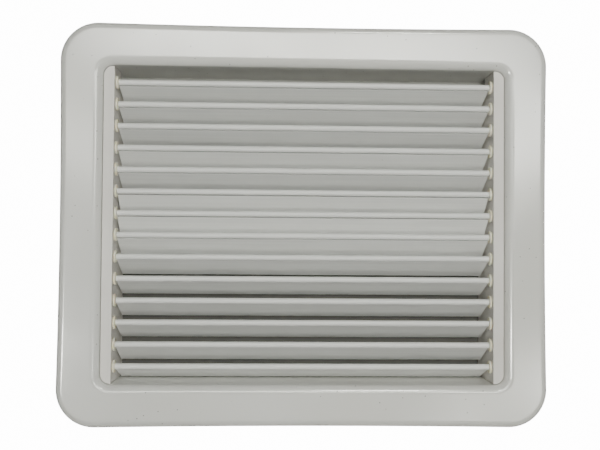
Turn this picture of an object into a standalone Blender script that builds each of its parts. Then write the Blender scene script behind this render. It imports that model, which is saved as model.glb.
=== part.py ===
# Supply air grille: a moulded frame, two side rails and fourteen blades that tilt one by one.
# It lies face up: +Z comes out of the face, +X and +Y run along its long and short sides.
# The origin is at the middle of the neck's rear rim, which it rests on.

import math

import bmesh
import bpy
from mathutils import Matrix

MM = 0.001

# Clearance between pieces that seat on each other, and around what turns
SEAT_GAP = 0.3 * MM
TURN_GAP = 0.3 * MM

# Frame
OPENING_WIDTH = 233.6 * MM
OPENING_CORNER = 5.6 * MM
FLANGE_WIDTH = 24.4 * MM
FLANGE_CORNER = 22.0 * MM
FRAME_WALL = 2.2 * MM
LIP_INSIDE = 2.5 * MM
ROLL_INSIDE = 2.2 * MM
RIM_DEPTH = 7.0 * MM
SIDE_BOW = 0.85 * MM
NECK_TAIL = 6.6 * MM
EDGE_BREAK = 0.4 * MM

# Side rails
RAIL_DROP = 0.25 * MM
RAIL_FACE = 6.0 * MM
RAIL_FOOT = 0.5 * MM
RAIL_WALL = 1.6 * MM
POST_REACH = 2.4 * MM
POST_LENGTH = 9.0 * MM
POST_SPACING = 58.0 * MM
POST_COUNT = 3

# Blades
BLADE_COUNT = 14
BLADE_PITCH = 12.7 * MM
END_MARGIN = 9.1 * MM
ROW_RISE = 0.3 * MM
PIVOT_DEPTH = 5.65 * MM
BLADE_REACH = 22.0 * MM
NOSE_RADIUS = 1.7 * MM
NOSE_BORE = 1.1 * MM
BODY_FRONT = 2.1 * MM
BODY_REAR = 1.1 * MM
GROOVE_WIDTH = 0.9 * MM
GROOVE_SLOPE = 0.2 * MM
GROOVE_DEPTH = 0.5 * MM
# How far each blade leans from the depth axis towards -Y, from the top blade down.
# The lowest blade isn't listed, because it lies on the neck's wall.
BLADE_TILTS_DEG = (24.8, 25.1, 26.1, 34.1, 30.8, 44.0, 47.1, 36.1, 28.4, 25.8, 26.9, 27.0, 29.5)

# Nylon pivots
DISC_RADIUS = 3.75 * MM
DISC_THICKNESS = 0.9 * MM
DISC_BREAK = 0.25 * MM
JOURNAL_RADIUS = 1.5 * MM
JOURNAL_PROUD = 0.8 * MM
PLUG_LENGTH = 5.0 * MM

# Smoothness of round shapes
CORNER_STEPS = 8
SIDE_STEPS = 4
LIP_STEPS = 5
ROLL_STEPS = 5
INSIDE_STEPS = 3
NOSE_STEPS = 12
BORE_STEPS = 8
TURNED_STEPS = 12
SHARP_ANGLE = math.radians(35)
CUT_OVERRUN = 1.0 * MM
WELD_DISTANCE = 0.001 * MM

# Sizes that follow from the ones above
LIP_RADIUS = FRAME_WALL + LIP_INSIDE
ROLL_RADIUS = FRAME_WALL + ROLL_INSIDE
ROW_SPAN = (BLADE_COUNT - 1) * BLADE_PITCH
OPENING_HEIGHT = ROW_SPAN + 2 * END_MARGIN
RAIL_TOP_DEPTH = LIP_RADIUS + RAIL_DROP
FACE_Z = RAIL_TOP_DEPTH + PIVOT_DEPTH + BLADE_REACH + NECK_TAIL
RAIL_TOP_Z = FACE_Z - RAIL_TOP_DEPTH
RAIL_DEPTH = RAIL_TOP_Z - RAIL_FOOT
PIVOT_Z = RAIL_TOP_Z - PIVOT_DEPTH
RAIL_OUTER_X = OPENING_WIDTH / 2 - SEAT_GAP
RAIL_INNER_X = RAIL_OUTER_X - RAIL_FACE
RAIL_HALF_HEIGHT = OPENING_HEIGHT / 2 - SEAT_GAP
DISC_OUTER_X = RAIL_INNER_X - SEAT_GAP
BLADE_END_X = DISC_OUTER_X - DISC_THICKNESS - SEAT_GAP


def clear_scene():
    for obj in list(bpy.data.objects):
        bpy.data.objects.remove(obj, do_unlink=True)


def make_material(name, colour, roughness):
    material = bpy.data.materials.new(name)
    material.use_nodes = True
    shader = material.node_tree.nodes["Principled BSDF"]
    shader.inputs["Base Color"].default_value = (*colour, 1.0)
    shader.inputs["Roughness"].default_value = roughness
    shader.inputs["Metallic"].default_value = 0.0
    return material


def finish_mesh(name, bm):
    mesh = bpy.data.meshes.new(name)
    bm.to_mesh(mesh)
    bm.free()
    mesh.shade_smooth()
    mesh.set_sharp_from_angle(angle=SHARP_ANGLE)
    return mesh


def add_object(name, mesh, material=None, parent=None):
    obj = bpy.data.objects.new(name, mesh)
    bpy.context.scene.collection.objects.link(obj)
    obj.parent = parent
    if material is not None and not mesh.materials:
        mesh.materials.append(material)
    return obj


def extrude_along(bm, faces, way):
    """Turns flat faces into a closed solid that reaches along way."""
    made = bmesh.ops.extrude_face_region(bm, geom=faces)["geom"]
    bmesh.ops.translate(bm, verts=[item for item in made if isinstance(item, bmesh.types.BMVert)], vec=way)
    bmesh.ops.recalc_face_normals(bm, faces=bm.faces)


def add_boolean(obj, operation, other):
    other.hide_render = True
    other.display_type = "WIRE"
    modifier = obj.modifiers.new(other.name, "BOOLEAN")
    modifier.operation = operation
    modifier.object = other


def arc(centre, radius, start_deg, end_deg, steps):
    points = []
    for i in range(steps + 1):
        angle = math.radians(start_deg + (end_deg - start_deg) * i / steps)
        points.append((centre[0] + radius * math.cos(angle), centre[1] + radius * math.sin(angle)))
    return points


def rounded_rectangle(half_width, half_height, radius, bow):
    """The outline from the right side's top, anticlockwise. Its straight sides draw in by bow at the middle."""
    corners = []
    for x_sign, y_sign, start in ((1, 1, 0), (-1, 1, 90), (-1, -1, 180), (1, -1, 270)):
        centre = (x_sign * (half_width - radius), y_sign * (half_height - radius))
        corners.append(arc(centre, radius, start, start + 90, CORNER_STEPS))
    points = []
    for i, corner in enumerate(corners):
        following = corners[(i + 1) % 4][0]
        x0, y0 = corner[-1]
        points += corner
        for k in range(1, SIDE_STEPS):
            t = k / SIDE_STEPS
            drawn_in = bow * 4 * t * (1 - t)
            x = x0 + (following[0] - x0) * t
            y = y0 + (following[1] - y0) * t
            if i in (1, 3):
                x -= math.copysign(drawn_in, x)
            else:
                y -= math.copysign(drawn_in, y)
            points.append((x, y))
    return points


def frame_section():
    """The frame's closed section: (distance out from the opening, height, corner radius, share of the bow)."""
    outer_corner = FLANGE_CORNER - FLANGE_WIDTH
    lip_centre = (LIP_RADIUS, FACE_Z - LIP_RADIUS)
    roll_centre = (FLANGE_WIDTH - ROLL_RADIUS, FACE_Z - ROLL_RADIUS)
    rim_z = FACE_Z - RIM_DEPTH

    near_rim = [(FLANGE_WIDTH, rim_z)]
    near_rim += arc(roll_centre, ROLL_RADIUS, 0, 90, ROLL_STEPS)
    near_opening = arc(lip_centre, LIP_RADIUS, 90, 180, LIP_STEPS)
    near_opening += [(0, EDGE_BREAK), (EDGE_BREAK, 0), (FRAME_WALL - EDGE_BREAK, 0), (FRAME_WALL, EDGE_BREAK)]
    near_opening += arc(lip_centre, LIP_INSIDE, 180, 90, INSIDE_STEPS)
    back_of_rim = arc(roll_centre, ROLL_INSIDE, 90, 0, INSIDE_STEPS)
    back_of_rim += [(FLANGE_WIDTH - FRAME_WALL, rim_z)]

    section = [(out, z, outer_corner + out, 1.0) for out, z in near_rim]
    section += [(out, z, OPENING_CORNER + out, 0.0) for out, z in near_opening]
    section += [(out, z, outer_corner + out, 1.0) for out, z in back_of_rim]
    return section


def build_frame(material):
    """Lofts the section's outlines into one closed shell, then adds the posts that the rails clip over."""
    bm = bmesh.new()
    rings = []
    for out, z, radius, bow_share in frame_section():
        outline = rounded_rectangle(
            OPENING_WIDTH / 2 + out, OPENING_HEIGHT / 2 + out, radius, SIDE_BOW * bow_share
        )
        rings.append([bm.verts.new((x, y, z)) for x, y in outline])
    for ring, following in zip(rings, rings[1:] + rings[:1]):
        for i in range(len(ring)):
            k = (i + 1) % len(ring)
            bm.faces.new((ring[i], ring[k], following[k], following[i]))
    bmesh.ops.recalc_face_normals(bm, faces=bm.faces)
    frame = add_object("frame", finish_mesh("frame", bm), material)
    add_boolean(frame, "UNION", add_object("frame_posts", finish_mesh("frame_posts", post_shapes())))


def post_shapes():
    """Blocks on the side walls that fill the height between a rail's two strips."""
    bm = bmesh.new()
    low = RAIL_TOP_Z - RAIL_DEPTH + RAIL_WALL + SEAT_GAP
    high = RAIL_TOP_Z - RAIL_WALL - SEAT_GAP
    inner = OPENING_WIDTH / 2 - POST_REACH
    outer = OPENING_WIDTH / 2 + FRAME_WALL / 2
    for side in (-1, 1):
        for i in range(POST_COUNT):
            y = (i - (POST_COUNT - 1) / 2) * POST_SPACING
            box_between(bm, (side * inner, y - POST_LENGTH / 2, low), (side * outer, y + POST_LENGTH / 2, high))
    return bm


def box_between(bm, corner, opposite):
    size = [abs(b - a) for a, b in zip(corner, opposite)]
    centre = [(a + b) / 2 for a, b in zip(corner, opposite)]
    bmesh.ops.create_cube(bm, size=1.0, matrix=Matrix.Translation(centre) @ Matrix.Diagonal((*size, 1.0)))


def blade_row():
    """The height of each pivot axis along Y, from the top blade down."""
    return [ROW_RISE + ROW_SPAN / 2 - i * BLADE_PITCH for i in range(BLADE_COUNT)]


def rail_outline():
    """The right rail seen from the front: square towards the blades, its outer corners following the neck's."""
    radius = OPENING_CORNER - SEAT_GAP
    x = RAIL_OUTER_X - radius
    y = RAIL_HALF_HEIGHT - radius
    outline = [(RAIL_INNER_X, RAIL_HALF_HEIGHT), (RAIL_INNER_X, -RAIL_HALF_HEIGHT)]
    outline += arc((x, -y), radius, 270, 360, CORNER_STEPS)
    outline += arc((x, y), radius, 0, 90, CORNER_STEPS)
    return outline


def rail_block(side):
    bm = bmesh.new()
    bottom_z = RAIL_TOP_Z - RAIL_DEPTH
    face = bm.faces.new([bm.verts.new((side * x, y, bottom_z)) for x, y in rail_outline()])
    extrude_along(bm, [face], (0, 0, RAIL_DEPTH))
    return bm


def rail_channel_cutter(side):
    """Hollows the rail from its outer side, which leaves the front strip, the web and the rear strip."""
    bm = bmesh.new()
    half_height = RAIL_HALF_HEIGHT + CUT_OVERRUN
    box_between(
        bm,
        (side * (RAIL_INNER_X + RAIL_WALL), -half_height, RAIL_TOP_Z - RAIL_DEPTH + RAIL_WALL),
        (side * (RAIL_OUTER_X + CUT_OVERRUN), half_height, RAIL_TOP_Z - RAIL_WALL),
    )
    return bm


def rail_hole_cutters(side):
    """One drill for each pivot, through the web only."""
    bm = bmesh.new()
    for y in blade_row():
        place = Matrix.Translation((side * (RAIL_INNER_X + RAIL_WALL / 2), y, PIVOT_Z))
        bmesh.ops.create_cone(
            bm,
            cap_ends=True,
            segments=TURNED_STEPS,
            radius1=JOURNAL_RADIUS + TURN_GAP,
            radius2=JOURNAL_RADIUS + TURN_GAP,
            depth=RAIL_WALL + 2 * CUT_OVERRUN,
            matrix=place @ Matrix.Rotation(math.pi / 2, 4, "Y"),
        )
    return bm


def build_rail(name, side, material):
    rail = add_object(name, finish_mesh(name, rail_block(side)), material)
    channel = finish_mesh(name + "_channel", rail_channel_cutter(side))
    add_boolean(rail, "DIFFERENCE", add_object(channel.name, channel))
    holes = finish_mesh(name + "_holes", rail_hole_cutters(side))
    add_boolean(rail, "DIFFERENCE", add_object(holes.name, holes))


def blade_section():
    """The blade's closed outline as (across its thickness, back from the pivot axis)."""
    shoulder = BODY_FRONT / 2
    tail = BODY_REAR / 2
    groove_floor = shoulder - GROOVE_DEPTH
    meet_deg = math.degrees(math.asin(shoulder / NOSE_RADIUS))
    nose_back = NOSE_RADIUS * math.cos(math.radians(meet_deg))
    nose = arc((0, 0), NOSE_RADIUS, 90 - meet_deg, meet_deg - 270, NOSE_STEPS)
    flank = [
        (groove_floor, nose_back + GROOVE_SLOPE),
        (groove_floor, nose_back + GROOVE_WIDTH - GROOVE_SLOPE),
        (shoulder, nose_back + GROOVE_WIDTH),
        (tail, BLADE_REACH - tail),
        (tail / 2, BLADE_REACH),
    ]
    return nose + [(-across, back) for across, back in flank] + flank[::-1]


def blade_mesh():
    """Extrudes the section, with its hollow nose, along the blade."""
    bm = bmesh.new()
    edges = closed_edges(bm, blade_section())
    edges += closed_edges(bm, arc((0, 0), NOSE_BORE, 0, 360 - 360 / BORE_STEPS, BORE_STEPS - 1))
    bmesh.ops.triangle_fill(bm, use_beauty=True, use_dissolve=False, edges=edges)
    extrude_along(bm, list(bm.faces), (2 * BLADE_END_X, 0, 0))
    return finish_mesh("blade", bm)


def closed_edges(bm, outline):
    """A closed ring of edges at the blade's left end, with the way back along -Z."""
    verts = [bm.verts.new((-BLADE_END_X, across, -back)) for across, back in outline]
    return [bm.edges.new((verts[i - 1], verts[i])) for i in range(len(verts))]


def pivot_mesh():
    """A turned piece about X: the plug, the disc and the journal, with x counted from the row's middle."""
    inner = DISC_OUTER_X - DISC_THICKNESS
    plug = NOSE_BORE - SEAT_GAP
    profile = [
        (inner - PLUG_LENGTH, 0),
        (inner - PLUG_LENGTH, plug),
        (inner, plug),
        (inner, DISC_RADIUS - DISC_BREAK),
        (inner + DISC_BREAK, DISC_RADIUS),
        (DISC_OUTER_X, DISC_RADIUS),
        (DISC_OUTER_X, JOURNAL_RADIUS),
        (RAIL_INNER_X + RAIL_WALL + JOURNAL_PROUD, JOURNAL_RADIUS),
        (RAIL_INNER_X + RAIL_WALL + JOURNAL_PROUD, 0),
    ]
    bm = bmesh.new()
    verts = [bm.verts.new((x, radius, 0)) for x, radius in profile]
    edges = [bm.edges.new(pair) for pair in zip(verts, verts[1:])]
    bmesh.ops.spin(
        bm,
        geom=verts + edges,
        axis=(1, 0, 0),
        cent=(0, 0, 0),
        angle=math.tau,
        steps=TURNED_STEPS,
        use_merge=True,
    )
    bmesh.ops.remove_doubles(bm, verts=bm.verts, dist=WELD_DISTANCE)
    bmesh.ops.recalc_face_normals(bm, faces=bm.faces)
    return finish_mesh("pivot", bm)


def blade_tilts():
    """Each blade's lean in radians. The lowest blade lies on the neck's lower wall."""
    rear_room = END_MARGIN + ROW_RISE - SEAT_GAP - BODY_REAR / 2
    tilts = [math.radians(BLADE_TILTS_DEG[i % len(BLADE_TILTS_DEG)]) for i in range(BLADE_COUNT - 1)]
    return tilts + [math.asin(rear_room / BLADE_REACH)]


def build_blades(blade_material, pivot_material):
    blade = blade_mesh()
    pivot = pivot_mesh()
    for number, (y, tilt) in enumerate(zip(blade_row(), blade_tilts()), start=1):
        axis = bpy.data.objects.new(f"blade_axis_{number:02d}", None)
        bpy.context.scene.collection.objects.link(axis)
        axis.location = (0, y, PIVOT_Z)
        axis.rotation_euler.x = -tilt
        add_object(f"blade_{number:02d}", blade, blade_material, axis)
        add_object(f"pivot_right_{number:02d}", pivot, pivot_material, axis)
        left = add_object(f"pivot_left_{number:02d}", pivot, pivot_material, axis)
        left.rotation_euler.z = math.pi


def main():
    clear_scene()
    frame_white = make_material("frame_white_plastic", (0.62, 0.63, 0.60), 0.32)
    rail_white = make_material("rail_white_plastic", (0.58, 0.57, 0.56), 0.45)
    blade_white = make_material("blade_white_paint", (0.56, 0.57, 0.55), 0.38)
    pivot_cream = make_material("pivot_cream_nylon", (0.70, 0.66, 0.52), 0.45)
    build_frame(frame_white)
    build_rail("side_rail_left", -1, rail_white)
    build_rail("side_rail_right", 1, rail_white)
    build_blades(blade_white, pivot_cream)


main()
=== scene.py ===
import math

import bmesh
import bpy
from mathutils import Matrix, Vector


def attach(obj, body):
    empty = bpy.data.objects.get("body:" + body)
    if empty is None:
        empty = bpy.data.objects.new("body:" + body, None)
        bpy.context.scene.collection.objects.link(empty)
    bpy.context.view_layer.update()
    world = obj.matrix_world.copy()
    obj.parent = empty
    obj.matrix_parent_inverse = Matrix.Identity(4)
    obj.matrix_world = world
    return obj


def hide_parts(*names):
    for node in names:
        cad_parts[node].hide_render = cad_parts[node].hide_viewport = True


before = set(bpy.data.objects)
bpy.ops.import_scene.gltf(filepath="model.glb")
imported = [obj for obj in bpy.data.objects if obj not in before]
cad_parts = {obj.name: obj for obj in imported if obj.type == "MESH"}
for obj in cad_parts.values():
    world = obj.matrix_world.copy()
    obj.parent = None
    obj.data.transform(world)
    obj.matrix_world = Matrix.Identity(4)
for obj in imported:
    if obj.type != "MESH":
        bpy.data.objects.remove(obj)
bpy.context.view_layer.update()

millimetre = 0.001

# Sizes that several pieces share, in millimetres; heights are above the floor that the neck stands on
shared = {
    "openingWidth": 233.6,
    "openingHeight": 183.3,
    "openingCorner": 5.6,
    "faceHeight": 39.2,  # the flange's face
    "railTop": 34.25,
    "pivotHeight": 28.6,
    "railInner": 110.5,  # the rails' faces towards the blades
    "firstRow": 82.85,  # the top blade's pivot axis
    "rowPitch": 12.7,
    "seatGap": 0.3,
}
# painted shade: this marks the blade's groove, where the powder coat paints a dark grey for the nose's shadow
grooveShadeAttribute = "paintedGrooveShade"  # the sweep writes this on the blade's groove and the powder coat reads it
bladeLeans = [24.8, 25.1, 26.1, 34.1, 30.8, 44.0, 47.1, 36.1, 28.4, 25.8, 26.9, 27.0, 29.5, 22.92]  # degrees


def inMetres(sizes):
    return {name: value * millimetre for name, value in sizes.items()}


sizesOf = inMetres(shared)
rowHeights = [sizesOf["firstRow"] - i * sizesOf["rowPitch"] for i in range(len(bladeLeans))]

# A noise stays near its middle, so it is stretched from one of these spans to the whole range
noiseSpan = {"clear": (0.35, 0.65), "soft": (0.3, 0.7)}

# sRGB hex, as a colour picker shows it, to the linear values that a shader wants
def linearColour(hexText):
    parts = [int(hexText[i:i + 2], 16) / 255 for i in (1, 3, 5)]
    return (*[p / 12.92 if p <= 0.04045 else ((p + 0.055) / 1.055) ** 2.4 for p in parts], 1.0)


# Adds one node with its settings; an input is a value or another node's output
def addNode(tree, kind, settings=None, inputs=None):
    node = tree.nodes.new(kind)
    for name, value in (settings or {}).items():
        setattr(node, name, value)
    for name, value in (inputs or {}).items():
        if isinstance(value, bpy.types.NodeSocket):
            tree.links.new(value, node.inputs[name])
        else:
            node.inputs[name].default_value = value
    return node


def fromSpan(name):
    return dict(zip(("From Min", "From Max"), noiseSpan[name]))


# An empty procedural material: its tree, its shader, and the object's own coordinates
def newMaterial(name, ior):
    material = bpy.data.materials.new(name)
    material.use_nodes = True
    tree = material.node_tree
    shader = tree.nodes["Principled BSDF"]
    shader.inputs["IOR"].default_value = ior
    return material, tree, shader, addNode(tree, "ShaderNodeTexCoord").outputs["Object"]


speckCore = 0.6  # a speck is at its darkest this far out, as a share of its radius


# A few specks of dust, one in some of the cells of a 3-D lattice, over a colour
def dustOver(tree, place, colour, look):
    cell, radius = look["speckCellMm"], look["speckMm"] / 2
    cells = addNode(tree, "ShaderNodeTexVoronoi", inputs={"Vector": place, "Scale": 1 / (cell * millimetre)})
    near = addNode(tree, "ShaderNodeMapRange", inputs={
        "Value": cells.outputs["Distance"], "From Min": speckCore * radius / cell, "From Max": radius / cell,
        "To Min": 1, "To Max": 0})
    pick = addNode(tree, "ShaderNodeSeparateColor", inputs={"Color": cells.outputs["Color"]})
    kept = addNode(tree, "ShaderNodeMath", {"operation": "LESS_THAN"}, {0: pick.outputs[0], 1: look["speckShare"]})
    seen = addNode(tree, "ShaderNodeMath", {"operation": "MULTIPLY"}, {0: near.outputs[0], 1: kept.outputs[0]})
    both = addNode(tree, "ShaderNodeMix", {"data_type": "RGBA"}, {
        0: seen.outputs[0], 6: colour, 7: linearColour(look["speck"])})
    return both.outputs[2]


# Injection-moulded white ABS: a smooth semi-gloss skin with a soft orange peel, a faint warm drift in its white,
# and a sheen that comes and goes where it was handled
absLook = {
    "ior": 1.53,
    "white": "#E9EAE7",
    "warmer": "#E5E5E0",
    "driftMm": 90.0,
    "glossLow": 0.16,
    "glossHigh": 0.21,
    "handledMm": 24.0,
    "peelMm": 2.2,
    "peelDeepMm": 0.006,
    "speck": "#625F58",
    "speckMm": 0.7,  # real dust is about a third of this, and is drawn as coarse as it needs to show
    "speckCellMm": 4.6,
    "speckShare": 0.6,
}


def mouldedAbs():
    look = absLook
    material, tree, shader, place = newMaterial("mouldedSemiGlossAbs", look["ior"])
    drift = addNode(tree, "ShaderNodeTexNoise", inputs={
        "Vector": place, "Scale": 1 / (look["driftMm"] * millimetre), "Detail": 3})
    warmth = addNode(tree, "ShaderNodeMapRange", inputs={"Value": drift.outputs["Fac"], **fromSpan("clear")})
    white = addNode(tree, "ShaderNodeMix", {"data_type": "RGBA"}, {
        0: warmth.outputs[0], 6: linearColour(look["white"]), 7: linearColour(look["warmer"])})
    tree.links.new(dustOver(tree, place, white.outputs[2], look), shader.inputs["Base Color"])
    handled = addNode(tree, "ShaderNodeTexNoise", inputs={
        "Vector": place, "Scale": 1 / (look["handledMm"] * millimetre), "Detail": 4})
    gloss = addNode(tree, "ShaderNodeMapRange", inputs={
        "Value": handled.outputs["Fac"], **fromSpan("soft"),
        "To Min": look["glossLow"], "To Max": look["glossHigh"]})
    tree.links.new(gloss.outputs[0], shader.inputs["Roughness"])
    peel = addNode(tree, "ShaderNodeTexNoise", inputs={
        "Vector": place, "Scale": 1 / (look["peelMm"] * millimetre), "Detail": 1})
    skin = addNode(tree, "ShaderNodeBump", inputs={
        "Height": peel.outputs["Fac"], "Distance": look["peelDeepMm"] * millimetre})
    tree.links.new(skin.outputs[0], shader.inputs["Normal"])
    return material


# Extruded and punched white PVC: duller than the frame, a little warmer, with faint draw lines down its length
railLook = {
    "ior": 1.54,
    "white": "#E2DFDA",
    "warmer": "#DBD7D1",
    "tintMm": 30.0,
    "lineMm": 0.9,
    "lineShrink": 0.02,  # a draw line's width as a share of its length
    "lineDeepMm": 0.004,
    "roughLow": 0.42,
    "roughHigh": 0.52,
    "speck": "#8A857C",
    "speckMm": 0.4,
    "speckCellMm": 9.0,
    "speckShare": 0.25,
}


def extrudedPvc():
    look = railLook
    material, tree, shader, place = newMaterial("extrudedSatinPvc", look["ior"])
    tint = addNode(tree, "ShaderNodeTexNoise", inputs={
        "Vector": place, "Scale": 1 / (look["tintMm"] * millimetre), "Detail": 3})
    warmth = addNode(tree, "ShaderNodeMapRange", inputs={"Value": tint.outputs["Fac"], **fromSpan("clear")})
    white = addNode(tree, "ShaderNodeMix", {"data_type": "RGBA"}, {
        0: warmth.outputs[0], 6: linearColour(look["white"]), 7: linearColour(look["warmer"])})
    tree.links.new(dustOver(tree, place, white.outputs[2], look), shader.inputs["Base Color"])
    drawn = addNode(tree, "ShaderNodeMapping", inputs={"Vector": place, "Scale": (1, look["lineShrink"], 1)})
    lines = addNode(tree, "ShaderNodeTexNoise", inputs={
        "Vector": drawn.outputs[0], "Scale": 1 / (look["lineMm"] * millimetre), "Detail": 2})
    satin = addNode(tree, "ShaderNodeMapRange", inputs={
        "Value": lines.outputs["Fac"], **fromSpan("soft"),
        "To Min": look["roughLow"], "To Max": look["roughHigh"]})
    tree.links.new(satin.outputs[0], shader.inputs["Roughness"])
    skin = addNode(tree, "ShaderNodeBump", inputs={
        "Height": lines.outputs["Fac"], "Distance": look["lineDeepMm"] * millimetre})
    tree.links.new(skin.outputs[0], shader.inputs["Normal"])
    return material


# White powder coat on an aluminium extrusion: a satin skin with a fine pebble, thinner over the die's long streaks,
# and painted shade in the groove: its floor is coloured dark grey to stand in for the nose's shadow
coatLook = {
    "ior": 1.5,
    "white": "#F0F1EF",
    "thinner": "#EBECEA",
    # painted shade: the dark grey of the groove's floor, standing in for the nose's shadow
    "paintedGrooveShade": "#666763",
    "streakMm": 1.6,
    "streakShrink": 0.015,  # a streak's width as a share of its length
    "pebbleMm": 0.8,
    "pebbleDeepMm": 0.006,
    "roughLow": 0.48,
    "roughHigh": 0.58,
    "speck": "#6F6E6A",
    "speckMm": 0.48,
    "speckCellMm": 11.0,
    "speckShare": 0.3,
}


def powderCoat():
    look = coatLook
    material, tree, shader, place = newMaterial("powderCoatedAluminium", look["ior"])
    drawn = addNode(tree, "ShaderNodeMapping", inputs={"Vector": place, "Scale": (look["streakShrink"], 1, 1)})
    streaks = addNode(tree, "ShaderNodeTexNoise", inputs={
        "Vector": drawn.outputs[0], "Scale": 1 / (look["streakMm"] * millimetre), "Detail": 2})
    thin = addNode(tree, "ShaderNodeMapRange", inputs={"Value": streaks.outputs["Fac"], **fromSpan("clear")})
    white = addNode(tree, "ShaderNodeMix", {"data_type": "RGBA"}, {
        0: thin.outputs[0], 6: linearColour(look["white"]), 7: linearColour(look["thinner"])})
    # painted shade: where the sweep marked the groove, the white turns dark grey
    grooveShadeMask = addNode(tree, "ShaderNodeAttribute", {"attribute_name": grooveShadeAttribute})
    shaded = addNode(tree, "ShaderNodeMix", {"data_type": "RGBA"}, {
        0: grooveShadeMask.outputs["Fac"], 6: white.outputs[2], 7: linearColour(look["paintedGrooveShade"])})
    tree.links.new(dustOver(tree, place, shaded.outputs[2], look), shader.inputs["Base Color"])
    pebble = addNode(tree, "ShaderNodeTexNoise", inputs={
        "Vector": place, "Scale": 1 / (look["pebbleMm"] * millimetre), "Detail": 2})
    satin = addNode(tree, "ShaderNodeMapRange", inputs={
        "Value": pebble.outputs["Fac"], **fromSpan("soft"),
        "To Min": look["roughLow"], "To Max": look["roughHigh"]})
    tree.links.new(satin.outputs[0], shader.inputs["Roughness"])
    skin = addNode(tree, "ShaderNodeBump", inputs={
        "Height": pebble.outputs["Fac"], "Distance": look["pebbleDeepMm"] * millimetre})
    tree.links.new(skin.outputs[0], shader.inputs["Normal"])
    return material


# Natural nylon, turned and tumbled: cream, a little see-through, so light softens inside the thin discs
nylonLook = {
    "ior": 1.53,
    "cream": "#F8F4DE",
    "yellower": "#F0EACF",
    "mottleMm": 3.0,
    "grainMm": 0.6,
    "grainDeepMm": 0.004,
    "roughLow": 0.24,
    "roughHigh": 0.32,
    "softWeight": 0.25,
    "softMm": 0.6,
    "softRadii": (1.0, 0.8, 0.5),  # red light goes furthest
}


def naturalNylon():
    look = nylonLook
    material, tree, shader, place = newMaterial("naturalCreamNylon", look["ior"])
    mottle = addNode(tree, "ShaderNodeTexNoise", inputs={
        "Vector": place, "Scale": 1 / (look["mottleMm"] * millimetre), "Detail": 3})
    share = addNode(tree, "ShaderNodeMapRange", inputs={"Value": mottle.outputs["Fac"], **fromSpan("clear")})
    cream = addNode(tree, "ShaderNodeMix", {"data_type": "RGBA"}, {
        0: share.outputs[0], 6: linearColour(look["cream"]), 7: linearColour(look["yellower"])})
    tree.links.new(cream.outputs[2], shader.inputs["Base Color"])
    satin = addNode(tree, "ShaderNodeMapRange", inputs={
        "Value": mottle.outputs["Fac"], **fromSpan("soft"),
        "To Min": look["roughLow"], "To Max": look["roughHigh"]})
    tree.links.new(satin.outputs[0], shader.inputs["Roughness"])
    grain = addNode(tree, "ShaderNodeTexNoise", inputs={
        "Vector": place, "Scale": 1 / (look["grainMm"] * millimetre), "Detail": 2})
    skin = addNode(tree, "ShaderNodeBump", inputs={
        "Height": grain.outputs["Fac"], "Distance": look["grainDeepMm"] * millimetre})
    tree.links.new(skin.outputs[0], shader.inputs["Normal"])
    shader.inputs["Subsurface Weight"].default_value = look["softWeight"]
    shader.inputs["Subsurface Scale"].default_value = look["softMm"] * millimetre
    shader.inputs["Subsurface Radius"].default_value = look["softRadii"]
    return material


frameFinish = mouldedAbs()
railFinish = extrudedPvc()
bladeFinish = powderCoat()
pivotFinish = naturalNylon()
print("materials made")


def linked(name, mesh):
    obj = bpy.data.objects.new(name, mesh)
    bpy.context.scene.collection.objects.link(obj)
    return obj


def meshFrom(name, bm):
    mesh = bpy.data.meshes.new(name)
    bm.to_mesh(mesh)
    bm.free()
    return mesh


# Points along an arc in a plane, both ends included
def arc(centre, radius, fromDegrees, toDegrees, steps):
    angles = [math.radians(fromDegrees + (toDegrees - fromDegrees) * i / steps) for i in range(steps + 1)]
    return [(centre[0] + radius * math.cos(a), centre[1] + radius * math.sin(a)) for a in angles]


bevelOf = {"segments": 2, "fromDegrees": 50}  # edges flatter than that stay as they are


# Breaks the sharp edges, if a width is given, and leans the shading towards the large faces
def finishEdges(obj, width=0.0):
    if width:
        bevel = obj.modifiers.new("brokenEdges", "BEVEL")
        bevel.width = width
        bevel.segments = bevelOf["segments"]
        bevel.limit_method = "ANGLE"
        bevel.angle_limit = math.radians(bevelOf["fromDegrees"])
        bevel.use_clamp_overlap = True
    weighted = obj.modifiers.new("weightedNormals", "WEIGHTED_NORMAL")
    weighted.keep_sharp = True


# Turns what obj shows, modifiers and all, into a plain mesh piece of that name
def settle(obj, name):
    bpy.context.view_layer.update()
    graph = bpy.context.evaluated_depsgraph_get()
    mesh = bpy.data.meshes.new_from_object(obj.evaluated_get(graph), preserve_all_data_layers=True, depsgraph=graph)
    mesh.name = name
    bpy.data.objects.remove(obj)
    return linked(name, mesh)


# Tells the frame which body a piece rides on and which solids it stands for
def enter(piece, body, slot, *nodes):
    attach(piece, body)
    if nodes:
        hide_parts(*nodes)


# A Geometry Nodes tree with named inputs; the dictionary gives each one's kind of socket
def newTree(name, inputKinds):
    tree = bpy.data.node_groups.new(name, "GeometryNodeTree")
    tree.interface.new_socket("Geometry", in_out="OUTPUT", socket_type="NodeSocketGeometry")
    tree.interface.new_socket("Geometry", in_out="INPUT", socket_type="NodeSocketGeometry")
    for label, kind in inputKinds.items():
        tree.interface.new_socket(label, in_out="INPUT", socket_type="NodeSocket" + kind)
    return tree, tree.nodes.new("NodeGroupInput").outputs


# The last steps of every tree: real geometry instead of instances, and its finish
def endTree(tree, geometry, finish):
    real = addNode(tree, "GeometryNodeRealizeInstances", inputs={"Geometry": geometry})
    dressed = addNode(tree, "GeometryNodeSetMaterial", inputs={"Geometry": real.outputs[0], "Material": finish})
    addNode(tree, "NodeGroupOutput", inputs={"Geometry": dressed.outputs[0]})


def useTree(obj, tree, values):
    modifier = obj.modifiers.new(tree.name, "NODES")
    modifier.node_group = tree
    for item in tree.interface.items_tree:
        if item.in_out == "INPUT" and item.name in values:
            modifier[item.identifier] = values[item.name]


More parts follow.
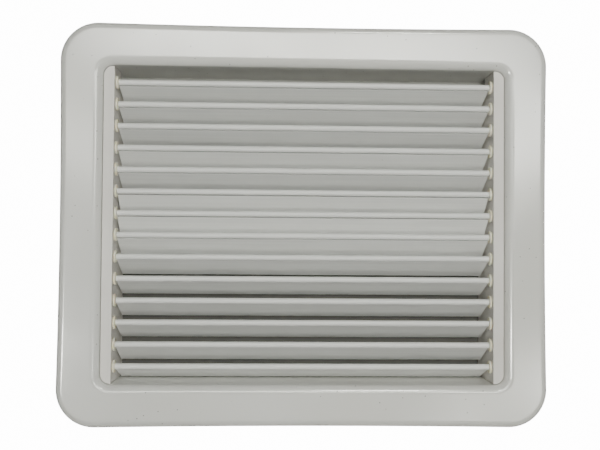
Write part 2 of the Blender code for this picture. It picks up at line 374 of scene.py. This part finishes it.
# The frame is one moulded shell: rolled rim, flat flange, bull-nose lip and the neck that goes into the duct
frameSizes = inMetres({
    "flangeWidth": 24.4,
    "flangeCorner": 22.0,
    "wall": 2.2,
    "lipInside": 2.5,
    "rollInside": 2.2,
    "rimDepth": 7.0,
    "sideBow": 0.85,  # how far each side draws in at its middle
    "edgeBreak": 0.4,
    "rimEdge": 0.5,
})
frameSteps = {"corner": 24, "side": 16, "lip": 16, "roll": 14, "inside": 7, "rim": 4, "foot": 3}


# A rectangle with round corners, whose sides draw in along a parabola, by bow at their middles
def roundedRectangle(halfWidth, halfHeight, radius, bow):
    corners = []
    for sx, sy, start in ((1, 1, 0), (-1, 1, 90), (-1, -1, 180), (1, -1, 270)):
        centre = (sx * (halfWidth - radius), sy * (halfHeight - radius))
        corners.append(arc(centre, radius, start, start + 90, frameSteps["corner"]))
    points = []
    for i, corner in enumerate(corners):
        points += corner
        x0, y0 = corner[-1]
        x1, y1 = corners[(i + 1) % 4][0]
        for k in range(1, frameSteps["side"]):
            t = k / frameSteps["side"]
            x, y, drawnIn = x0 + (x1 - x0) * t, y0 + (y1 - y0) * t, bow * 4 * t * (1 - t)
            upright = i in (1, 3)
            points.append((x - math.copysign(drawnIn, x) * upright, y - math.copysign(drawnIn, y) * (not upright)))
    return points


# The shell's closed section: distance out from the opening, height, corner radius, and whether it draws in
def frameSection():
    s, face = frameSizes, sizesOf["faceHeight"]
    lipRadius, rollRadius = s["wall"] + s["lipInside"], s["wall"] + s["rollInside"]
    lipCentre, rollCentre = (lipRadius, face - lipRadius), (s["flangeWidth"] - rollRadius, face - rollRadius)
    outerCorner, openingCorner = s["flangeCorner"] - s["flangeWidth"], sizesOf["openingCorner"]
    rimLow, rimInner, rimEdge, foot = face - s["rimDepth"], s["flangeWidth"] - s["wall"], s["rimEdge"], s["edgeBreak"]
    rim = arc((rimInner + rimEdge, rimLow + rimEdge), rimEdge, 180, 270, frameSteps["rim"])
    rim += arc((s["flangeWidth"] - rimEdge, rimLow + rimEdge), rimEdge, 270, 360, frameSteps["rim"])
    rim += arc(rollCentre, rollRadius, 0, 90, frameSteps["roll"])
    neck = arc(lipCentre, lipRadius, 90, 180, frameSteps["lip"])
    neck += arc((foot, foot), foot, 180, 270, frameSteps["foot"])
    neck += arc((s["wall"] - foot, foot), foot, 270, 360, frameSteps["foot"])
    neck += arc(lipCentre, s["lipInside"], 180, 90, frameSteps["inside"])
    underside = arc(rollCentre, s["rollInside"], 90, 0, frameSteps["inside"])
    section = [(out, z, outerCorner + out, True) for out, z in rim]
    section += [(out, z, openingCorner + out, False) for out, z in neck]
    return section + [(out, z, outerCorner + out, True) for out, z in underside]


def makeShell():
    bm = bmesh.new()
    rings = []
    for out, z, radius, drawsIn in frameSection():
        outline = roundedRectangle(sizesOf["openingWidth"] / 2 + out, sizesOf["openingHeight"] / 2 + out, radius,
                                   frameSizes["sideBow"] * drawsIn)
        rings.append([bm.verts.new((x, y, z)) for x, y in outline])
    for ring, following in zip(rings, rings[1:] + rings[:1]):
        for i in range(len(ring)):
            bm.faces.new((ring[i - 1], ring[i], following[i], following[i - 1]))
    bmesh.ops.recalc_face_normals(bm, faces=bm.faces)
    for face in bm.faces:
        face.smooth = True
    shell = linked("frameShell", meshFrom("frameShell", bm))
    finishEdges(shell)
    return settle(shell, "frameShell")


# A mesh of upright blocks, each given by its lowest and highest corner
def blocks(boxes):
    bm = bmesh.new()
    for low, high in boxes:
        size = [abs(b - a) for a, b in zip(low, high)]
        middle = [(a + b) / 2 for a, b in zip(low, high)]
        bmesh.ops.create_cube(bm, size=1.0, matrix=Matrix.Translation(middle) @ Matrix.Diagonal((*size, 1.0)))
    return bm


# Small posts on the neck's side walls, which the rails clip over
clipSizes = inMetres({"reach": 2.4, "length": 9.0, "spacing": 58.0, "low": 2.4, "high": 32.35, "edge": 0.35})


def makeClips():
    s, wallX, posts = clipSizes, sizesOf["openingWidth"] / 2, []
    for side in (-1, 1):
        for row in (-1, 0, 1):
            middle = row * s["spacing"]
            posts.append(((side * (wallX - s["reach"]), middle - s["length"] / 2, s["low"]),
                          (side * (wallX + frameSizes["wall"] / 2), middle + s["length"] / 2, s["high"])))
    clips = linked("frameClips", meshFrom("frameClips", blocks(posts)))
    finishEdges(clips, s["edge"])
    return settle(clips, "frameClips")


shell, clips = makeShell(), makeClips()
for piece in (shell, clips):
    piece.data.materials.append(frameFinish)
enter(shell, "housing", "frame_plastic", "frame")
enter(clips, "housing", "frame_plastic")
print("frame made")

# The rails are the channel-shaped carriers of the blades, with one hole for each pivot
railSizes = inMetres({
    "foot": 0.5,  # the rails end this far above the floor
    "wall": 1.6,
    "edge": 0.28,
    "holeRadius": 1.8,
    "holeLength": 4.0,
    "cutBackFrom": 81.0,  # the rear is cut back from here to the upper end
    "cutBackTop": 15.0,  # and up to this height above the floor
})
railSteps = {"hole": 32, "corner": 16}


# Drills a row of holes along Y through whatever mesh it is given
def railDrillTree():
    tree, given = newTree("railDrill", {
        "First Row": "Float", "Pitch": "Float", "Count": "Int", "Radius": "Float", "Length": "Float",
        "Across": "Float", "Height": "Float", "Finish": "Material"})
    first = addNode(tree, "ShaderNodeCombineXYZ", inputs={
        "X": given["Across"], "Y": given["First Row"], "Z": given["Height"]})
    back = addNode(tree, "ShaderNodeMath", {"operation": "MULTIPLY"}, {0: given["Pitch"], 1: -1.0})
    step = addNode(tree, "ShaderNodeCombineXYZ", inputs={"Y": back.outputs[0]})
    row = addNode(tree, "GeometryNodeMeshLine", {"mode": "OFFSET"}, {
        "Count": given["Count"], "Start Location": first.outputs[0], "Offset": step.outputs[0]})
    drill = addNode(tree, "GeometryNodeMeshCylinder", inputs={
        "Vertices": railSteps["hole"], "Radius": given["Radius"], "Depth": given["Length"]})
    drills = addNode(tree, "GeometryNodeInstanceOnPoints", inputs={
        "Points": row.outputs[0], "Instance": drill.outputs[0], "Rotation": (0, math.pi / 2, 0)})
    solid = addNode(tree, "GeometryNodeRealizeInstances", inputs={"Geometry": drills.outputs[0]})
    cut = addNode(tree, "GeometryNodeMeshBoolean", {"operation": "DIFFERENCE", "solver": "EXACT"}, {
        "Mesh 1": given["Geometry"], "Mesh 2": solid.outputs[0]})
    endTree(tree, cut.outputs[0], given["Finish"])
    return tree


# The rail's whole block, its outer corners following the neck's, and the cutters: one hollows it into a channel,
# the other takes off its rear at the upper end
def railBlank(side):
    gap, wall, bottom = sizesOf["seatGap"], railSizes["wall"], railSizes["foot"]
    outer, half = sizesOf["openingWidth"] / 2 - gap, sizesOf["openingHeight"] / 2 - gap
    radius = sizesOf["openingCorner"] - gap
    inner, top = sizesOf["railInner"], sizesOf["railTop"]
    outline = [(inner, half), (inner, -half)]
    outline += arc((outer - radius, -half + radius), radius, 270, 360, railSteps["corner"])
    outline += arc((outer - radius, half - radius), radius, 0, 90, railSteps["corner"])
    bm = bmesh.new()
    lower = [bm.verts.new((side * x, y, bottom)) for x, y in outline]
    upper = [bm.verts.new((side * x, y, top)) for x, y in outline]
    bm.faces.new(lower)
    bm.faces.new(upper)
    for i in range(len(outline)):
        bm.faces.new((lower[i - 1], lower[i], upper[i], upper[i - 1]))
    bmesh.ops.recalc_face_normals(bm, faces=bm.faces)
    hollow = [(side * (inner + wall), -half - wall, bottom + wall),
              (side * (outer + wall), half + wall, top - wall)]
    cutBack = [(side * (inner - wall), railSizes["cutBackFrom"], bottom - wall),
               (side * (outer + wall), half + wall, railSizes["cutBackTop"])]
    cutters = [linked("railCutter", meshFrom("railCutter", blocks([box]))) for box in (hollow, cutBack)]
    return linked("railBlank", meshFrom("railBlank", bm)), cutters


def makeRail(name, side, drillTree):
    rail, cutters = railBlank(side)
    for cutter in cutters:
        cut = rail.modifiers.new("cut", "BOOLEAN")
        cut.operation = "DIFFERENCE"
        cut.solver = "EXACT"
        cut.object = cutter
    useTree(rail, drillTree, {
        "First Row": rowHeights[0], "Pitch": sizesOf["rowPitch"], "Count": len(rowHeights),
        "Radius": railSizes["holeRadius"], "Length": railSizes["holeLength"],
        "Across": side * (sizesOf["railInner"] + railSizes["wall"] / 2), "Height": sizesOf["pivotHeight"],
        "Finish": railFinish})
    finishEdges(rail, railSizes["edge"])
    piece = settle(rail, name)
    for cutter in cutters:
        bpy.data.objects.remove(cutter)
    return piece


railDrill = railDrillTree()
for name, side, node in (("railLeft", -1, "side_rail_left"), ("railRight", 1, "side_rail_right")):
    enter(makeRail(name, side, railDrill), "housing", "rail_plastic", node)
print("rails made")

# A blade is an extruded section: a hollow round nose, a thin groove behind it and a body that tapers to the rear
bladeSizes = inMetres({
    "halfLength": 109.0,
    "reach": 22.0,
    "noseRadius": 1.7,
    "boreRadius": 1.1,
    "bodyFront": 2.1,
    "bodyRear": 1.1,
    "grooveWidth": 0.9,
    "grooveSlope": 0.15,
    "grooveDepth": 0.5,
    "edge": 0.12,
})
bladeSteps = {"nose": 32, "bore": 24, "tail": 6}


def noseMeetsGroove():
    return math.sqrt(bladeSizes["noseRadius"] ** 2 - (bladeSizes["bodyFront"] / 2) ** 2)


# The section as closed rings of edges: x across the blade, y back from its pivot axis
def bladeSection():
    s = bladeSizes
    shoulder, tail, radius = s["bodyFront"] / 2, s["bodyRear"] / 2, s["noseRadius"]
    meet = math.degrees(math.asin(shoulder / radius))
    noseBack = noseMeetsGroove()
    floorX = shoulder - s["grooveDepth"]
    flank = [(floorX, noseBack + s["grooveSlope"]), (floorX, noseBack + s["grooveWidth"] - s["grooveSlope"]),
             (shoulder, noseBack + s["grooveWidth"])]
    outline = arc((0, 0), radius, 90 - meet, meet - 270, bladeSteps["nose"])
    outline += [(-x, y) for x, y in flank]
    outline += arc((0, s["reach"] - tail), tail, 180, 0, bladeSteps["tail"])
    outline += flank[::-1]
    bore = arc((0, 0), s["boreRadius"], 0, 360, bladeSteps["bore"])[:-1]
    bm = bmesh.new()
    for ring in (outline, bore):
        verts = [bm.verts.new((x, y, 0)) for x, y in ring]
        for i in range(len(verts)):
            bm.edges.new((verts[i - 1], verts[i]))
    return meshFrom("bladeSection", bm)


# Fills the section, draws it out to the blade's length, leans it back and sets it in its row
def bladeTree():
    tree, given = newTree("bladeSweep", {
        "Half Length": "Float", "Lean": "Float", "Row": "Float", "Height": "Float", "Weld": "Float",
        "Groove Middle": "Float", "Groove Reach": "Float", "Finish": "Material"})
    rings = addNode(tree, "GeometryNodeMeshToCurve", inputs={"Mesh": given["Geometry"]})
    filled = addNode(tree, "GeometryNodeFillCurve", {"mode": "TRIANGLES"}, {"Curve": rings.outputs[0]})
    # only the groove's floor has points at that distance back from the pivot axis; they are marked for the coat's
    # painted shade
    position = addNode(tree, "GeometryNodeInputPosition")
    wayBack = addNode(tree, "ShaderNodeSeparateXYZ", inputs={"Vector": position.outputs[0]})
    grooveShadeMask = addNode(tree, "ShaderNodeMath", {"operation": "COMPARE"}, {
        0: wayBack.outputs["Y"], 1: given["Groove Middle"], 2: given["Groove Reach"]})
    face = addNode(tree, "GeometryNodeStoreNamedAttribute", {"data_type": "FLOAT", "domain": "POINT"}, {
        "Geometry": filled.outputs[0], "Name": grooveShadeAttribute, "Value": grooveShadeMask.outputs[0]})
    length = addNode(tree, "ShaderNodeMath", {"operation": "MULTIPLY"}, {0: given["Half Length"], 1: 2.0})
    along = addNode(tree, "ShaderNodeCombineXYZ", inputs={"Z": length.outputs[0]})
    drawn = addNode(tree, "GeometryNodeExtrudeMesh", {"mode": "FACES"}, {
        "Mesh": face.outputs[0], "Offset": along.outputs[0], "Individual": False})
    otherEnd = addNode(tree, "GeometryNodeFlipFaces", inputs={"Mesh": face.outputs[0]})
    joined = addNode(tree, "GeometryNodeJoinGeometry", inputs={"Geometry": drawn.outputs[0]})
    tree.links.new(otherEnd.outputs[0], joined.inputs[0])
    closed = addNode(tree, "GeometryNodeMergeByDistance", inputs={
        "Geometry": joined.outputs[0], "Distance": given["Weld"]})
    # the sweep ran up Z; it is centred and laid along X with its way back pointing down, then leans in its row
    startZ = addNode(tree, "ShaderNodeMath", {"operation": "MULTIPLY"}, {0: given["Half Length"], 1: -1.0})
    middle = addNode(tree, "ShaderNodeCombineXYZ", inputs={"Z": startZ.outputs[0]})
    centred = addNode(tree, "GeometryNodeTransform", inputs={
        "Geometry": closed.outputs[0], "Translation": middle.outputs[0]})
    laid = addNode(tree, "GeometryNodeTransform", inputs={
        "Geometry": centred.outputs[0], "Rotation": (-math.pi / 2, 0, -math.pi / 2)})
    backwards = addNode(tree, "ShaderNodeMath", {"operation": "MULTIPLY"}, {0: given["Lean"], 1: -1.0})
    turn = addNode(tree, "ShaderNodeCombineXYZ", inputs={"X": backwards.outputs[0]})
    spot = addNode(tree, "ShaderNodeCombineXYZ", inputs={"Y": given["Row"], "Z": given["Height"]})
    placed = addNode(tree, "GeometryNodeTransform", inputs={
        "Geometry": laid.outputs[0], "Translation": spot.outputs[0], "Rotation": turn.outputs[0]})
    endTree(tree, placed.outputs[0], given["Finish"])
    return tree


# A pivot is turned nylon, one at each end of a blade: a plug, a disc and a journal
pivotSizes = inMetres({
    "discRadius": 3.75,
    "discThickness": 1.33,  # the disc nearly touches the blade's end and the rail
    "discRound": 0.42,
    "discOuter": 110.38,
    "journalRadius": 1.5,
    "journalEnd": 112.9,
    "journalBreak": 0.3,
    "plugRadius": 0.8,
    "plugLength": 5.0,
    "plugBreak": 0.2,
})
pivotSteps = {"round": 4, "turn": 36}
weldDistance = 0.001 * millimetre
sharpDegrees = 35  # a pivot's edges that turn by more than this stay sharp


def turnedPivot():
    s = pivotSizes
    outer, inner, radius, edge = s["discOuter"], s["discOuter"] - s["discThickness"], s["discRadius"], s["discRound"]
    tip, plugBreak, journalBreak = inner - s["plugLength"], s["plugBreak"], s["journalBreak"]
    profile = [(tip, 0), (tip, s["plugRadius"] - plugBreak), (tip + plugBreak, s["plugRadius"]),
               (inner, s["plugRadius"])]
    profile += arc((inner + edge, radius - edge), edge, 180, 90, pivotSteps["round"])
    profile += arc((outer - edge, radius - edge), edge, 90, 0, pivotSteps["round"])
    profile += [(outer, s["journalRadius"]), (s["journalEnd"] - journalBreak, s["journalRadius"]),
                (s["journalEnd"], s["journalRadius"] - journalBreak), (s["journalEnd"], 0)]
    bm = bmesh.new()
    verts = [bm.verts.new((x, away, 0)) for x, away in profile]
    edges = [bm.edges.new(pair) for pair in zip(verts, verts[1:])]
    bmesh.ops.spin(bm, geom=verts + edges, axis=(1, 0, 0), cent=(0, 0, 0), angle=math.tau,
                   steps=pivotSteps["turn"], use_merge=True)
    bmesh.ops.remove_doubles(bm, verts=bm.verts, dist=weldDistance)
    bmesh.ops.recalc_face_normals(bm, faces=bm.faces)
    return meshFrom("turnedPivot", bm)


# Sets a turned piece at both ends of a blade, the second one turned half round
def pivotTree():
    tree, given = newTree("pivotPair", {"Row": "Float", "Height": "Float", "Finish": "Material"})
    ends = addNode(tree, "GeometryNodeMeshLine", {"mode": "OFFSET"}, {"Count": 2, "Offset": (0, 0, 0)})
    number = addNode(tree, "GeometryNodeInputIndex")
    half = addNode(tree, "ShaderNodeMath", {"operation": "MULTIPLY"}, {0: number.outputs[0], 1: math.pi})
    turn = addNode(tree, "ShaderNodeCombineXYZ", inputs={"Z": half.outputs[0]})
    pair = addNode(tree, "GeometryNodeInstanceOnPoints", inputs={
        "Points": ends.outputs[0], "Instance": given["Geometry"], "Rotation": turn.outputs[0]})
    spot = addNode(tree, "ShaderNodeCombineXYZ", inputs={"Y": given["Row"], "Z": given["Height"]})
    placed = addNode(tree, "GeometryNodeTransform", inputs={
        "Geometry": pair.outputs[0], "Translation": spot.outputs[0]})
    endTree(tree, placed.outputs[0], given["Finish"])
    return tree


def makeLouvre(number, row, lean, bladeSweep, pivotPair):
    axis = {"Row": row, "Height": sizesOf["pivotHeight"]}
    blade = linked("bladeBase", bladeSection())
    useTree(blade, bladeSweep, {
        **axis, "Half Length": bladeSizes["halfLength"], "Lean": math.radians(lean), "Weld": weldDistance,
        "Groove Middle": noseMeetsGroove() + bladeSizes["grooveWidth"] / 2,
        "Groove Reach": (bladeSizes["grooveWidth"] - bladeSizes["grooveSlope"]) / 2, "Finish": bladeFinish})
    finishEdges(blade, bladeSizes["edge"])
    pivots = linked("pivotBase", turnedPivot())
    useTree(pivots, pivotPair, {**axis, "Finish": pivotFinish})
    blade, pivots = settle(blade, f"bladeSlat_{number}"), settle(pivots, f"pivotPair_{number}")
    pivots.data.shade_smooth()
    pivots.data.set_sharp_from_angle(angle=math.radians(sharpDegrees))
    enter(blade, f"louvre_{number}", "blade_paint", f"blade_{number}")
    enter(pivots, f"louvre_{number}", "pivot_nylon", f"pivot_left_{number}", f"pivot_right_{number}")


bladeSweep, pivotPair = bladeTree(), pivotTree()
for index, (row, lean) in enumerate(zip(rowHeights, bladeLeans), start=1):
    makeLouvre(f"{index:02d}", row, lean, bladeSweep, pivotPair)
print("blades and pivots made")

# A pale table that looks bright to the camera and doesn't light the object, with painted shade under the neck
table = {
    "colour": "#F4F4F2",
    # painted shade: the board under the neck is coloured grey for the neck's shadow
    "paintedShadeUnderNeck": "#686864",
    # painted light: the strip over the top blade is coloured paler for the light that gets in there
    "paintedLightAlongTopWall": "#B0B0AC",  # the strip that shows over the top blade, where more light gets in
    "reach": 30.0,  # metres each way
    "farCorner": 1.0,
    "glow": 14.0,
    "gloss": 0.0,  # dead matt, so the strips don't shine off it onto the neck
    "patchInset": 0.0011,  # the patch ends under the middle of the neck's wall
    # the painted light's strip is placed by these three
    "paleFrom": 0.087,  # the patch turns pale between these two, in metres up from its middle
    "paleBy": 0.089,
    "paleReach": 0.115,  # and this far to each side
}


def mattMaterial(name, colour):
    material = bpy.data.materials.new(name)
    material.use_nodes = True
    shader = material.node_tree.nodes["Principled BSDF"]
    shader.inputs["Base Color"].default_value = linearColour(colour)
    shader.inputs["Specular IOR Level"].default_value = table["gloss"]
    return material, material.node_tree, shader


# A matt white board, lit up for the camera alone
def paleTable():
    material, tree, shader = mattMaterial("paleTable", table["colour"])
    seen = addNode(tree, "ShaderNodeLightPath").outputs["Is Camera Ray"]
    lit = addNode(tree, "ShaderNodeMath", {"operation": "MULTIPLY"}, {0: seen, 1: table["glow"]})
    shader.inputs["Emission Color"].default_value = (1, 1, 1, 1)
    tree.links.new(lit.outputs[0], shader.inputs["Emission Strength"])
    return material


# The same board under the neck with painted shade: grey, with a strip of painted light along the upper wall
def shadedTable():
    material, tree, shader = mattMaterial("tableWithPaintedShade", table["paintedShadeUnderNeck"])
    place = addNode(tree, "ShaderNodeTexCoord").outputs["Object"]
    across = addNode(tree, "ShaderNodeSeparateXYZ", inputs={"Vector": place})
    upward = addNode(tree, "ShaderNodeMapRange", inputs={
        "Value": across.outputs["Y"], "From Min": table["paleFrom"], "From Max": table["paleBy"]})
    aside = addNode(tree, "ShaderNodeMath", {"operation": "ABSOLUTE"}, {0: across.outputs["X"]})
    within = addNode(tree, "ShaderNodeMath", {"operation": "LESS_THAN"}, {
        0: aside.outputs[0], 1: table["paleReach"]})
    paintedLightShare = addNode(tree, "ShaderNodeMath", {"operation": "MULTIPLY"}, {0: upward.outputs[0], 1: within.outputs[0]})
    # painted shade under the neck, and painted light in the paler strip along the upper wall
    both = addNode(tree, "ShaderNodeMix", {"data_type": "RGBA"}, {
        0: paintedLightShare.outputs[0], 6: linearColour(table["paintedShadeUnderNeck"]), 7: linearColour(table["paintedLightAlongTopWall"])})
    tree.links.new(both.outputs[2], shader.inputs["Base Color"])
    return material


def makeTable():
    halfWidth, halfHeight = (sizesOf[k] / 2 + table["patchInset"] for k in ("openingWidth", "openingHeight"))
    patch = roundedRectangle(halfWidth, halfHeight, sizesOf["openingCorner"] + table["patchInset"], 0)
    far = roundedRectangle(table["reach"], table["reach"], table["farCorner"], 0)
    bm = bmesh.new()
    near, outer = ([bm.verts.new((x, y, 0)) for x, y in outline] for outline in (patch, far))
    bm.faces.new(near).material_index = 1
    for i in range(len(near)):
        bm.faces.new((near[i - 1], outer[i - 1], outer[i], near[i]))
    bmesh.ops.recalc_face_normals(bm, faces=bm.faces)
    floor = linked("floor", meshFrom("floor", bm))
    floor.data.materials.append(paleTable())
    floor.data.materials.append(shadedTable())


# Panels over the table, for the matt surfaces: each is watts, place and size in metres, and all face the grille
panels = {
    "abovePanel": (2.5, (0.04, 0.055, 0.66), (0.22, 0.08)),
    "frontPanel": (3.0, (0.0, -0.3, 1.1), (0.5, 0.2)),
    "sidePanel": (1.1, (0.6, 0.3, 1.1), (0.4, 0.5)),
}
# Strips and tubes that are only there for their reflections, in the same way
glints = {
    "nearStrip": (1.2, (0.02, 0.26, 0.64), (0.46, 0.07)),  # brightens the flange's top side
    "topStrip": (8.5, (0.035, 0.39, 1.15), (0.93, 0.14)),
    "rightStrip": (3.5, (0.48, 0.2, 1.15), (0.14, 0.3)),
    "leftStrip": (1.6, (-0.42, 0.2, 1.15), (0.12, 0.3)),
    "lowStrip": (0.9, (0.4, -0.33, 1.15), (0.25, 0.12)),  # brightens the flange's lower right
    "farTube": (14.0, (0.255, 0.96, 1.15), (0.26, 0.04)),  # the bright line along the bottom lip
    "leftTube": (14.0, (-0.64, -0.235, 1.22), (0.04, 0.13)),  # the bright line along the right lip
    "rightLamp": (2.0, (0.62, -0.32, 1.2), (0.06, 0.12)),  # the glint on the right rim
}
lightColour = "#FFFFF7"
aim = (0, 0, 0.03)  # the middle of the grille
air = {"strength": 0.07, "shown": 14.0}  # what lights the grille, and what the camera sees behind it


def makeLight():
    for name, (watts, place, size) in {**panels, **glints}.items():
        lamp = bpy.data.lights.new(name, "AREA")
        lamp.shape = "RECTANGLE"
        lamp.size, lamp.size_y = size
        lamp.energy = watts
        lamp.color = linearColour(lightColour)[:3]
        obj = linked(name, lamp)
        obj.location = place
        obj.rotation_mode = "QUATERNION"
        obj.rotation_quaternion = (Vector(place) - Vector(aim)).to_track_quat("Z", "Y")
        obj.visible_diffuse = name in panels
        obj.visible_glossy = name in glints
    world = bpy.data.worlds.new("studioAir")
    world.use_nodes = True
    tree = world.node_tree
    seen = addNode(tree, "ShaderNodeLightPath").outputs["Is Camera Ray"]
    strength = addNode(tree, "ShaderNodeMapRange", inputs={
        "Value": seen, "To Min": air["strength"], "To Max": air["shown"]})
    tree.nodes["Background"].inputs["Color"].default_value = (1, 1, 1, 1)
    tree.links.new(strength.outputs[0], tree.nodes["Background"].inputs["Strength"])
    bpy.context.scene.world = world


# Camera at the picture's own angle; the numbers come from matching the opening, the rows and the outline
cameraPlace = {
    "xyzMm": (-19.06, -11.36, 488.26),
    "turnDegrees": (1.469, -2.055, 0.487),
    "lensMm": 47.074,
    "sensorMm": 36.0,
    "nearestMm": 20.0,  # nothing nearer than this is drawn
}


def makeCamera():
    lens = bpy.data.cameras.new("photoCamera")
    lens.sensor_width = cameraPlace["sensorMm"]
    lens.lens = cameraPlace["lensMm"]
    lens.clip_start = cameraPlace["nearestMm"] * millimetre
    camera = linked("photoCamera", lens)
    camera.location = [value * millimetre for value in cameraPlace["xyzMm"]]
    camera.rotation_mode = "ZYX"
    camera.rotation_euler = [math.radians(value) for value in cameraPlace["turnDegrees"]]
    bpy.context.scene.camera = camera


makeTable()
makeLight()
makeCamera()
print("studio made")
